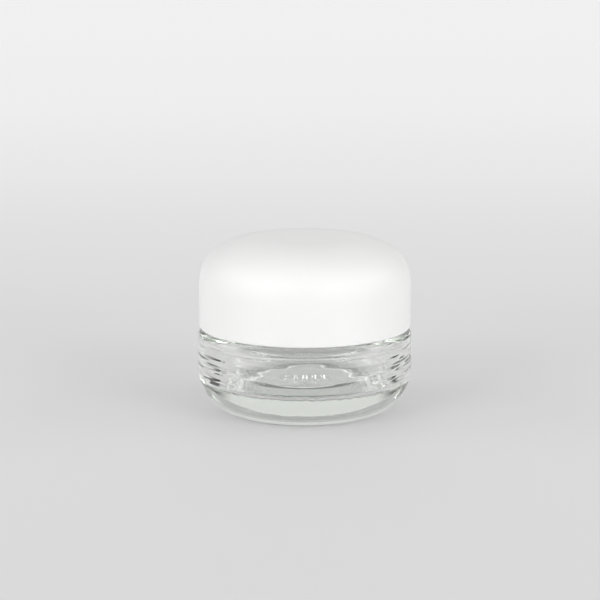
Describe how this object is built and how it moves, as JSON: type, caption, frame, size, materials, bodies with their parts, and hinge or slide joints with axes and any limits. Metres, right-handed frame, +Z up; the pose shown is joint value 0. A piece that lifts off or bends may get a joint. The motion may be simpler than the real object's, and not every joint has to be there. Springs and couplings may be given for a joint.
{
  "type": "cosmetic cream jar",
  "caption": "Low round clear glass cream jar with a thick base, a domed white screw cap with threaded insert and foam liner, and a sealing disc with a pull tab.",
  "frame": {"origin": "centre of the base, on the surface that the jar stands on", "axes": "+Z up along the axis of the jar and its cap; -Y towards the side seen first; +X to the right of that view"},
  "size_m": [0.056, 0.056, 0.0454],
  "materials": {
    "clear_glass": "clear, faintly green-grey, fire-polished",
    "cap_white": "satin white moulded polypropylene",
    "insert_plastic": "natural white moulded polypropylene",
    "liner_foam": "white closed-cell foam with a fine embossed skin",
    "seal_plastic": "milky translucent polyethylene"
  },
  "bodies": {
    "jar": {"jar_body": "clear_glass"},
    "liner": {"cap_liner": "liner_foam"},
    "cap": {"cap_shell": "cap_white", "cap_insert": "insert_plastic"},
    "disc": {"sealing_disc": "seal_plastic"}
  },
  "joints": [
    {"name": "cap_rise", "type": "slide", "parent": "jar", "child": "liner", "axis": [0, 0, 1], "range_m": [0, 0.017]},
    {"name": "cap_turn", "type": "hinge", "parent": "liner", "child": "cap", "pos_m": [0, 0, 0.03], "axis": [0, 0, 1], "range_deg": [0, 720]},
    {"name": "disc_lift", "type": "slide", "parent": "jar", "child": "disc", "axis": [0, 0, 1], "range_m": [0, 0.0045]}
  ],
  "couplings": [
    {"joint": "cap_rise", "follows": "cap_turn", "m_per_rad": 0.0013528},
    {"joint": "disc_lift", "follows": "cap_turn", "m_per_rad": 0.000358}
  ]
}
